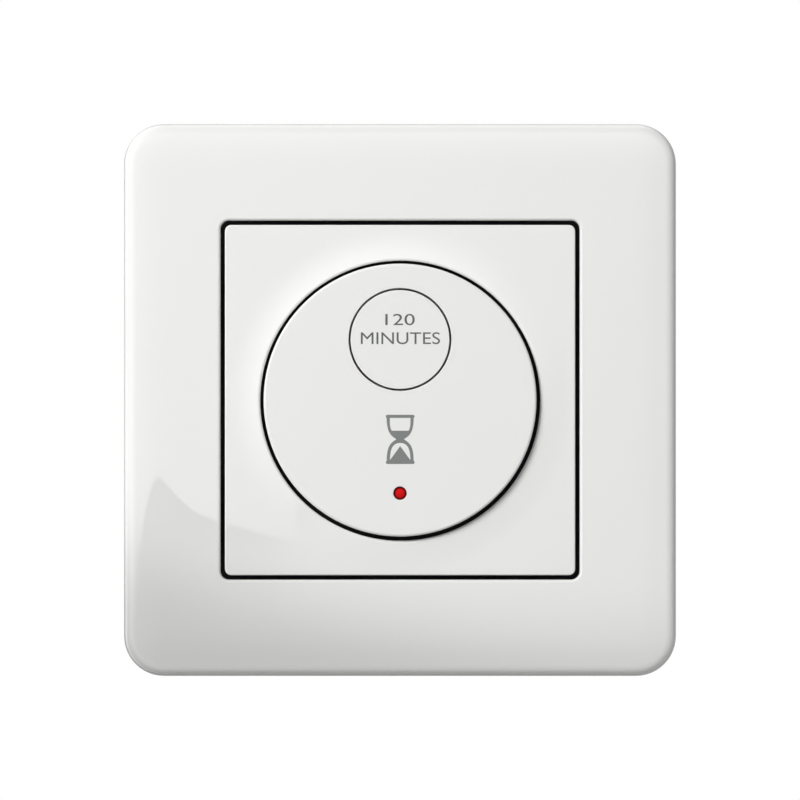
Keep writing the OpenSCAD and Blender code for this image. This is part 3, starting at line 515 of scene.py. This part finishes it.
def makeLightPipe(s):
    flangeTop = faceUp("front_disc")[1][2] - discSizes["thickness"]
    middle = lensHi[2] - s["dome"]
    fall = math.degrees(math.acos(s["lens"] / s["dome"]))
    profile = [(s["rod"], lensLo[2]), (s["rod"], flangeTop - s["flange"]), (lensHi[0], flangeTop - s["flange"]),
               (lensHi[0], flangeTop), (s["lens"], flangeTop)]
    profile += arc((0, middle), s["dome"], fall, s["domeEnd"], s["domeSteps"])
    rings = [roundRing(out, up, lensAt, lensSides) for out, up in profile]
    piece = skin("lightPipe", [rings], lids=[[rings[0]], [rings[-1]]])
    finishPiece(piece, "light_pipe", "wall_unit", "red_lens")


makeLightPipe(pipeSizes)
print("lens done")


# printed sand-glass on the disc, half of its outline as knots: place, handle before, handle after
signSizes = {"at": (0.02, -6.25), "ink": 0.012, "steps": 12}
glassKnots = [((2.03, 3.95), (1.0, 3.95), (2.16, 3.95)), ((2.25, 3.71), (2.25, 3.84), (2.25, 3.57)),
              ((2.12, 3.46), (2.2, 3.46), (2.12, 1.0)), ((0.6, 0.13), (1.3, 0.57), (1.3, -0.45)),
              ((2.11, -3.28), (2.11, -0.6), (2.19, -3.28)), ((2.25, -3.52), (2.25, -3.38), (2.25, -3.65)),
              ((2.03, -3.76), (2.16, -3.76), (1.0, -3.76))]
upperKnots = [((1.61, 3.46), (1.0, 3.46), (1.64, 2.3)), ((1.33, 1.45), (1.58, 1.95), (0.8, 1.45))]
lowerKnots = [((0, -0.46), (-1.2, -0.46), (1.2, -0.46)), ((1.6, -3.16), (1.61, -1.5), (1.07, -2.42)),
              ((0, -0.95), (0.53, -1.69), (-0.53, -1.69))]


def mirrored(knots):                             # right half as written, left half turned over
    flip = [tuple((-x, y) for x, y in (place, after, before)) for place, before, after in reversed(knots)]
    return knots + [knot for knot in flip if knot[0][0]]


def loop(curve, knots, steps):
    line = curve.splines.new("BEZIER")
    line.bezier_points.add(len(knots) - 1)
    for point, (place, before, after) in zip(line.bezier_points, knots):
        point.co, point.handle_left, point.handle_right = (*place, 0), (*before, 0), (*after, 0)
    line.use_cyclic_u = True
    line.resolution_u = steps


def layPrint(piece, name, at, body, face, thick, finish):      # flat outline to a thin layer of ink on the face
    takeUp(piece)
    bpy.ops.object.convert(target="MESH")
    piece = bpy.context.object
    piece.name = piece.data.name = name
    editAll()
    bpy.ops.mesh.remove_doubles(threshold=sameSpot)
    bpy.ops.mesh.extrude_region_move(TRANSFORM_OT_translate={"value": (0, 0, thick)})
    bpy.ops.mesh.select_all(action="SELECT")
    bpy.ops.transform.translate(value=(at[0], at[1], face))
    editDone()
    finishPiece(piece, None, body, "gloss_white", finish)


def makeSandGlass(s):
    letGo()
    curve = bpy.data.curves.new("sandGlass", "CURVE")
    curve.dimensions = "2D"
    curve.fill_mode = "BOTH"
    for knots in (glassKnots, upperKnots, lowerKnots):
        loop(curve, mirrored(knots), s["steps"])
    sign = bpy.data.objects.new("sandGlass", curve)
    bpy.context.collection.objects.link(sign)
    layPrint(sign, "sandGlass", s["at"], "wall_unit", faceUp("front_disc")[1][2], s["ink"], signInk)


makeSandGlass(signSizes)

# legend on the key: a plain number over its unit, set to size
legendSizes = {"legendNumber": {"words": "120", "at": (0, 12.62), "wide": 4.6, "high": 1.78, "ink": 0.012},
               "legendUnit": {"words": "MINUTES", "at": (0.06, 9.7), "wide": 12.4, "high": 1.88, "ink": 0.012}}


def makeLegend(name, s):
    letGo()
    bpy.ops.object.text_add(location=(0, 0, 0))
    words = bpy.context.object
    words.data.body = s["words"]
    words.data.align_x = "CENTER"
    words.data.size = s["high"]
    bpy.ops.object.convert(target="MESH")
    words = bpy.context.object
    spots = [point.co for point in words.data.vertices]
    lo = [min(spot[axis] for spot in spots) for axis in (0, 1)]
    hi = [max(spot[axis] for spot in spots) for axis in (0, 1)]
    stretch = (s["wide"] / (hi[0] - lo[0]), s["high"] / (hi[1] - lo[1]), 1)
    editAll()
    bpy.ops.transform.translate(value=(-(lo[0] + hi[0]) / 2, -(lo[1] + hi[1]) / 2, 0))
    bpy.ops.transform.resize(value=stretch, center_override=(0, 0, 0))
    editDone()
    layPrint(words, name, s["at"], "start_key", keyHi[2], s["ink"], legendInk)


for name, sizes in legendSizes.items():
    makeLegend(name, sizes)
print("prints done")


# screws: wound thread, eased head, cross recess
threadSizes = {"pitch": 0.5, "deep": 0.28, "flat": 0.12, "flank": 0.38, "steps": 24, "runIn": 2.03, "spare": 4,
               "weld": 0.001, "headEase": 0.4, "headSteps": 5, "driveThick": 0.6, "driveDeep": 0.8, "driveOut": 1,
               "ease": 0.05}
clawScrewSizes = {"shank": 1.5, "headHigh": 2.0, "drive": 3.4}
clampScrewSizes = {"shank": 1.5, "headHigh": 1.8, "drive": 3.4}
housingScrewSizes = {"shank": 1.25, "head": 2.1, "headHigh": 1.5, "drive": 2.1}


def makeThread(radius, length, s):               # one turn's outline, wound up and cut to length
    letGo()
    bpy.ops.mesh.primitive_plane_add(size=1)
    thread = bpy.context.object
    bpy.ops.object.mode_set(mode="EDIT")
    bpy.ops.mesh.select_mode(type="VERT")
    bpy.ops.mesh.select_all(action="SELECT")
    bpy.ops.mesh.merge(type="CENTER")
    bpy.ops.transform.translate(value=(radius - s["deep"], 0, -length - s["runIn"] * s["pitch"]))
    for out, up in ((0, s["flat"]), (s["deep"], s["flank"]), (0, s["flat"]), (-s["deep"], s["flank"])):
        bpy.ops.mesh.extrude_region_move(TRANSFORM_OT_translate={"value": (out, 0, up * s["pitch"])})
    editDone()
    wind = thread.modifiers.new("wind", "SCREW")
    wind.screw_offset = s["pitch"]
    wind.iterations = math.ceil(length / s["pitch"]) + s["spare"]
    wind.steps = wind.render_steps = s["steps"]
    bpy.ops.object.modifier_apply(modifier=wind.name)
    editAll()
    bpy.ops.mesh.remove_doubles(threshold=s["weld"])     # joins each turn to the next
    for level, facing in ((-length, -1), (s["pitch"], 1)):
        bpy.ops.mesh.select_all(action="SELECT")
        bpy.ops.mesh.bisect(plane_co=(0, 0, level), plane_no=(0, 0, facing), use_fill=True, clear_outer=True)
    bpy.ops.mesh.select_all(action="SELECT")
    bpy.ops.mesh.normals_make_consistent(inside=False)
    editDone()
    return thread


def makeScrew(name, kind, head, length):         # head up, bearing face at zero
    s, high = threadSizes, kind["headHigh"]
    profile = [(head, 0)] + arc((head - s["headEase"], high - s["headEase"]), s["headEase"], 0, 90, s["headSteps"])
    rings = [roundRing(out, up, sides=smallSides) for out, up in profile]
    screw = skin(name, [rings], lids=[[rings[0]], [rings[-1]]])
    workWith(screw, [makeThread(kind["shank"], length, s)])
    long, thick, deep = kind["drive"] / 2, s["driveThick"] / 2, high - s["driveDeep"]
    for x, y in ((long, thick), (thick, long)):
        workWith(screw, [block((-x, -y, deep), (x, y, high + s["driveOut"]), s["ease"])], "DIFFERENCE")
    return screw


def placeCopy(screw, at, turn):                  # a copy, stood at its place
    copy = copyOf(screw)
    copy.rotation_euler.x = math.radians(turn)
    copy.location = at
    bpy.ops.object.transform_apply(location=True, rotation=True, scale=False)
    return copy


def makeTurningScrews(name, stem, sides, s, headBack=False):   # each turns on its own body
    for side in sides:
        node = stem + side
        lo, hi = faceUp(node)
        at = [(a + b) / 2 for a, b in zip(lo[:2], hi[:2])]
        seat = lo[2] + s["headHigh"] if headBack else hi[2] - s["headHigh"]
        length = hi[2] - seat if headBack else seat - lo[2]
        screw = makeScrew(name, s, (hi[0] - lo[0]) / 2, length)
        placed = placeCopy(screw, (*at, seat), 180 if headBack else 0)
        placed.name = placed.data.name = name + "." + side
        bpy.data.objects.remove(screw)
        finishPiece(placed, node, node, "zinc_steel")


def makeHousingScrews(s):
    lo, hi = faceUp("housing_screws")
    reach, seat = hi[0] - s["head"], hi[2] - s["headHigh"]
    screw = makeScrew("housingScrew", s, s["head"], seat - lo[2])
    placed = [placeCopy(screw, (x, y, seat), 0) for x in (-reach, reach) for y in (-reach, reach)]
    bpy.data.objects.remove(screw)
    takeUp(*placed)
    bpy.ops.object.join()
    screws = bpy.context.object
    screws.name = screws.data.name = "housingScrews"
    finishPiece(screws, "housing_screws", "wall_unit", "zinc_steel")


makeTurningScrews("clawScrew", "claw_screw_", ("left", "right"), clawScrewSizes)
makeTurningScrews("clampScrew", "terminal_screw_", ("left", "middle", "right"), clampScrewSizes, headBack=True)
makeHousingScrews(housingScrewSizes)
print("screws done")


# key spring: closed curl at each end
springSizes = {"turns": 5, "wire": 0.25, "steps": 32, "round": 3, "closing": 0.12, "stroke": 0.8, "shadeAngle": 60}


def makeKeySpring(s):
    lo, hi = faceUp("key_spring")
    radius = (hi[0] - lo[0]) / 2 - s["wire"]
    low, high = lo[2] + s["wire"], hi[2] - s["wire"]
    letGo()
    curve = bpy.data.curves.new("keySpring", "CURVE")
    curve.dimensions = "3D"
    curve.bevel_depth = s["wire"]
    curve.bevel_resolution = s["round"]
    curve.use_fill_caps = True
    count = s["turns"] * s["steps"]
    wire = curve.splines.new("POLY")
    wire.points.add(count)
    for i, point in enumerate(wire.points):
        turns = s["turns"] * i / count
        wound = min(max((turns - 0.5) / (s["turns"] - 1), 0), 1)
        curl = (min(turns, 1) + max(turns - s["turns"] + 1, 0)) / 2
        angle = 2 * math.pi * turns
        point.co = (keyAt[0] + radius * math.cos(angle), keyAt[1] + radius * math.sin(angle),
                    low + (high - low) * (s["closing"] * curl + (1 - s["closing"]) * wound), 1)
    spring = bpy.data.objects.new("keySpring", curve)
    bpy.context.collection.objects.link(spring)
    takeUp(spring)
    bpy.ops.object.convert(target="MESH")
    spring = bpy.context.object
    finishPiece(spring, "key_spring", "wall_unit", "spring_steel", angle=s["shadeAngle"])
    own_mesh(spring)


makeKeySpring(springSizes)
print("spring done")


# mouldings and stampings that show from behind: the solids with their edges eased, width in mm
easedSizes = {"rear_housing": 0.12, "terminal_block": 0.15, "front_housing": 0.2, "support_plate": 0.12,
              "claw_left": 0.1, "claw_right": 0.1, "terminal_cage_left": 0.12, "terminal_cage_middle": 0.12,
              "terminal_cage_right": 0.12}
easing = {"weld": 0.02, "flatAngle": 0.4, "edgeAngle": 40, "steps": 2}
bodyOf = {node: body for body, nodes in frame["record"]["behaviour"]["bodies"].items() for node in nodes}
slotOf = {part["node"]: part["material_slot"] for part in frame["record"]["subparts"]}


def makeEased(node, width, s):
    words = node.split("_")
    name = words[0] + "".join(word.capitalize() for word in words[1:])
    piece = bpy.data.objects.new(name, frame["nodes"][node].data.copy())
    piece.data.name = name
    bpy.context.collection.objects.link(piece)
    takeUp(piece)
    editAll()
    bpy.ops.mesh.remove_doubles(threshold=s["weld"] * mm)
    bpy.ops.mesh.dissolve_limited(angle_limit=math.radians(s["flatAngle"]))
    editDone()
    ease = piece.modifiers.new("ease", "BEVEL")
    ease.width = width * mm
    ease.segments = s["steps"]
    ease.limit_method = "ANGLE"
    ease.angle_limit = math.radians(s["edgeAngle"])
    ease.use_clamp_overlap = node != "rear_housing"      # its short vent edges would stop the easing
    bpy.ops.object.modifier_apply(modifier=ease.name)
    dress(piece, node, bodyOf[node], finishes[slotOf[node]], s["edgeAngle"])


for node, width in easedSizes.items():
    makeEased(node, width, easing)
print("edges eased,", len(easedSizes))


# stage in metres: pale floor well below, white backdrop, a bank of beams and two panels,
# and a light tent and a dark card that only the gloss shows
floorSizes = {"drop": 0.1, "radius": 0.6, "sides": 96, "tone": (0.86, 0.86, 0.86), "rough": 0.7, "fade": (0.35, 0.98)}
tentSizes = {"radius": 1.3, "end": 1.25, "columns": 144, "rows": 120, "middle": 1e-8}
tentGlow = {"left": [(0, 2.35), (20, 3.25), (50, 3.9), (90, 1.9), (110, 4.5), (124, 0.8), (140, 0.1), (165, 0)],
            "up": [(0, 2.35), (20, 3.3), (50, 0.4), (90, 0.1), (110, 1.7), (124, 0.5), (140, 0.1), (165, 0)],
            "right": [(0, 2.35), (9, 2), (20, 2.75), (50, 3), (90, 1.8), (110, 0.1), (124, 0), (140, 0), (165, 0.9)],
            "down": [(0, 2.35), (8, 2.15), (20, 2.9), (50, 3.75), (90, 1.6), (110, 1.8), (124, 0.6), (140, 0.8),
                     (165, 1)]}                  # degrees from straight ahead, brightness
flagSizes = {"away": 0.0295, "low": -24, "end": -36, "fade": 0.5}      # away in m, low and end in mm
flagHem = [(-45.6, -30, 0.8, 0), (-44.9, -27.5, 0.8, 0.5), (-43.9, -23.4, 0.6, 0.85), (-42.6, -17.8, 0.6, 0.93),
           (-41.2, -14, 0.5, 0.93), (-39.4, -12.3, 0.5, 0.93), (-37.9, -12.5, 0.5, 0.93), (-36.2, -14.7, 0.4, 0.93),
           (-32.9, -17.8, 0.3, 0.9), (-28.7, -19.4, 0.3, 0.85), (-20.8, -21.7, 0.4, 0.6), (-16.5, -22.6, 0.6, 0.22),
           (-12.8, -23.4, 0.9, 0)]               # across mm, edge mm, softness mm, share of light held back
bankSizes = {"at": (-0.88, -1.13, 0.72), "aim": (-0.037, -0.0095, 0.2), "fade": (-0.0255, -0.0465),
             "rings": [(0.115, 6), (0.22, 12)], "radius": 0.006, "watts": 51.5}
panelSizes = {"keyPanel": {"at": (-0.88, -1.13, 0.72), "aim": (0, 0, 0), "size": (0.4, 0.4), "watts": 12.7},
              "rearLamp": {"at": (-0.5, 1.1, 0.8), "aim": (0, 0, 0), "size": (0.8, 0.8), "watts": 8}}
worldSizes = {"below": 0.06, "above": 0.18, "right": 0.46, "rear": 0.75, "rearAt": 0.35, "rearEnd": 0.7}


def readTable(table, value):                     # straight lines between the rows
    for (a, low), (b, high) in zip(table, table[1:]):
        if a <= value <= b:
            return low + (high - low) * (value - a) / (b - a)
    return table[0][1] if value < table[0][0] else table[-1][1]


def forGlossOnly(piece):
    piece.visible_camera = piece.visible_diffuse = piece.visible_transmission = False
    piece.visible_volume_scatter = piece.visible_shadow = False


def attributeOf(nodes, name):
    reader = nodes.new("ShaderNodeAttribute")
    reader.attribute_name = name
    return reader.outputs["Fac"]


def blendOut(nodes, links, share, first, second, output="Material Output"):    # mixes two looks into the output
    blend = nodes.new("ShaderNodeMixShader")
    links.new(share, blend.inputs["Fac"])
    links.new(first, blend.inputs[1])
    links.new(second, blend.inputs[2])
    links.new(blend.outputs["Shader"], nodes[output].inputs["Surface"])


def makeFloor(s):
    letGo()
    bpy.ops.mesh.primitive_circle_add(vertices=s["sides"], radius=s["radius"], fill_type="NGON",
                                      location=(0, 0, -s["drop"]))
    floor = bpy.context.object
    floor.name = "floor"
    finish, nodes, links, shader = newFinish("paleFloor")
    setInputs(shader, {"Base Color": (*s["tone"], 1), "Roughness": s["rough"]})
    place = nodes.new("ShaderNodeTexCoord")
    reach = addMath(nodes, "VectorMath", "LENGTH")
    start, end = (share * s["radius"] for share in s["fade"])
    fade = addRange(nodes, {"From Min": start, "From Max": end})
    fade.interpolation_type = "SMOOTHSTEP"
    clear = nodes.new("ShaderNodeBsdfTransparent")
    links.new(place.outputs["Object"], reach.inputs[0])
    links.new(reach.outputs["Value"], fade.inputs["Value"])
    blendOut(nodes, links, fade.outputs["Result"], shader.outputs["BSDF"], clear.outputs["BSDF"])
    floor.data.materials.append(finish)
    floor.visible_diffuse = floor.visible_glossy = False


def makeTent(s):                                 # dome round the front, brightness by the angle from straight ahead
    letGo()
    bpy.ops.mesh.primitive_uv_sphere_add(segments=s["columns"], ring_count=s["rows"], radius=s["radius"],
                                         rotation=(math.radians(90), 0, 0))
    bpy.ops.object.transform_apply(location=False, rotation=True, scale=False)
    tent = bpy.context.object
    tent.name = "lightTent"
    editAll()
    bpy.ops.mesh.bisect(plane_co=(0, s["end"], 0), plane_no=(0, 1, 0), clear_outer=True)
    editDone()
    glow = tent.data.attributes.new("glow", "FLOAT", "POINT")
    for point, spot in zip(tent.data.vertices, glow.data):
        side, ahead, up = point.co.normalized()
        angle = math.degrees(math.acos(max(-1, min(1, -ahead))))
        sideways = readTable(tentGlow["right" if side > 0 else "left"], angle)
        upright = readTable(tentGlow["up" if up > 0 else "down"], angle)
        spread = side * side + up * up
        spot.value = (sideways * side * side + upright * up * up) / spread if spread > s["middle"] else upright
    finish, nodes, links, _ = newFinish("tentGlow")
    light = nodes.new("ShaderNodeEmission")
    links.new(attributeOf(nodes, "glow"), light.inputs["Strength"])
    links.new(light.outputs["Emission"], nodes["Material Output"].inputs["Surface"])
    tent.data.materials.append(finish)
    forGlossOnly(tent)


def makeFlag(s):                                 # dark card close to the lower left, mirrored in the gloss
    letGo()
    bpy.ops.mesh.primitive_grid_add(x_subdivisions=len(flagHem) - 1, y_subdivisions=3, size=2)
    flag = bpy.context.object
    flag.name = "flag"
    share = flag.data.attributes.new("share", "FLOAT", "POINT")
    for number, point in enumerate(flag.data.vertices):
        row, column = divmod(number, len(flagHem))
        across, edge, soft, held = flagHem[column]
        height = (s["end"], min(s["low"], edge - 2 * soft), edge - soft, edge + soft)[row]
        point.co = (across * mm, -s["away"], height * mm)
        share.data[number].value = held * (0, s["fade"], 1, 0)[row]
    finish, nodes, links, _ = newFinish("flagShade")
    clear = nodes.new("ShaderNodeBsdfTransparent")
    dark = setInputs(nodes.new("ShaderNodeEmission"), {"Strength": 0})
    blendOut(nodes, links, attributeOf(nodes, "share"), clear.outputs["BSDF"], dark.outputs["Emission"])
    flag.data.materials.append(finish)
    forGlossOnly(flag)


def aimAt(lamp, spot):
    lamp.rotation_euler = (Vector(spot) - lamp.location).to_track_quat("-Z", "Y").to_euler()


def makeLamp(name, kind, at, aim, watts):
    letGo()
    bpy.ops.object.light_add(type=kind, location=at)
    lamp = bpy.context.object
    lamp.name = name
    lamp.data.energy = watts
    lamp.visible_glossy = False
    aimAt(lamp, aim)
    return lamp


def makePanel(name, s):
    lamp = makeLamp(name, "AREA", s["at"], s["aim"], s["watts"])
    lamp.data.shape = "RECTANGLE"
    lamp.data.size, lamp.data.size_y = s["size"]


def makeBeamBank(s):                             # rings of narrow beams that fade out at one height on the front
    middle, aim = Vector(s["at"]), Vector(s["aim"])
    ahead = (aim - middle).normalized()
    across = ahead.cross(Vector((0, 0, 1))).normalized()
    places = [middle]
    for radius, count in s["rings"]:
        for i in range(count):
            turn = 2 * math.pi * (i + 0.5) / count
            places.append(middle + radius * (math.cos(turn) * across + math.sin(turn) * across.cross(ahead)))
    for number, place in enumerate(places):
        lamp = makeLamp("beam.%02d" % number, "SPOT", place, aim, s["watts"] / len(places))
        inner, outer = (math.cos((aim - place).angle(Vector((0, aim.y, z)) - place)) for z in s["fade"])
        lamp.data.spot_size = 2 * math.acos(outer)
        lamp.data.spot_blend = (inner - outer) / (1 - outer)
        lamp.data.shadow_soft_size = s["radius"]


def makeWorld(s):
    world = bpy.data.worlds.new("studio")
    bpy.context.scene.world = world
    world.use_nodes = True
    nodes, links = world.node_tree.nodes, world.node_tree.links
    soft = setInputs(nodes["Background"], {"Color": (1, 1, 1, 1)})
    backdrop = setInputs(nodes.new("ShaderNodeBackground"), {"Color": (1, 1, 1, 1)})
    place, split = nodes.new("ShaderNodeTexCoord"), nodes.new("ShaderNodeSeparateXYZ")
    height = addRange(nodes, {"From Min": -1, "To Min": s["below"], "To Max": s["above"]})
    right = addRange(nodes, {"To Max": s["right"]})      # pale wall on the right
    rear = nodes.new("ShaderNodeValToRGB")       # bright backdrop, seen from the rims only
    first, last = rear.color_ramp.elements
    first.color = last.color = (0, 0, 0, 1)
    last.position = s["rearEnd"]
    rear.color_ramp.elements.new(s["rearAt"]).color = (s["rear"], s["rear"], s["rear"], 1)
    sides, level = addMath(nodes, "Math", "ADD"), addMath(nodes, "Math", "ADD")
    path = nodes.new("ShaderNodeLightPath")
    seen, clear = addMath(nodes, "Math", "MAXIMUM"), addMath(nodes, "Math", "MAXIMUM")
    links.new(place.outputs["Generated"], split.inputs["Vector"])
    links.new(split.outputs["Z"], height.inputs["Value"])
    links.new(split.outputs["X"], right.inputs["Value"])
    links.new(split.outputs["Y"], rear.inputs["Fac"])
    links.new(height.outputs["Result"], sides.inputs[0])
    links.new(right.outputs["Result"], sides.inputs[1])
    links.new(sides.outputs["Value"], level.inputs[0])
    links.new(rear.outputs["Color"], level.inputs[1])
    links.new(level.outputs["Value"], soft.inputs["Strength"])
    links.new(path.outputs["Is Camera Ray"], seen.inputs[0])
    links.new(path.outputs["Is Glossy Ray"], seen.inputs[1])
    links.new(seen.outputs["Value"], clear.inputs[0])
    links.new(path.outputs["Is Transmission Ray"], clear.inputs[1])
    blendOut(nodes, links, clear.outputs["Value"], soft.outputs["Background"], backdrop.outputs["Background"],
             "World Output")


makeFloor(floorSizes)
makeTent(tentSizes)
makeFlag(flagSizes)
makeBeamBank(bankSizes)
for name, sizes in panelSizes.items():
    makePanel(name, sizes)
makeWorld(worldSizes)
bpy.context.scene.view_settings.view_transform = "Standard"
print("stage set")
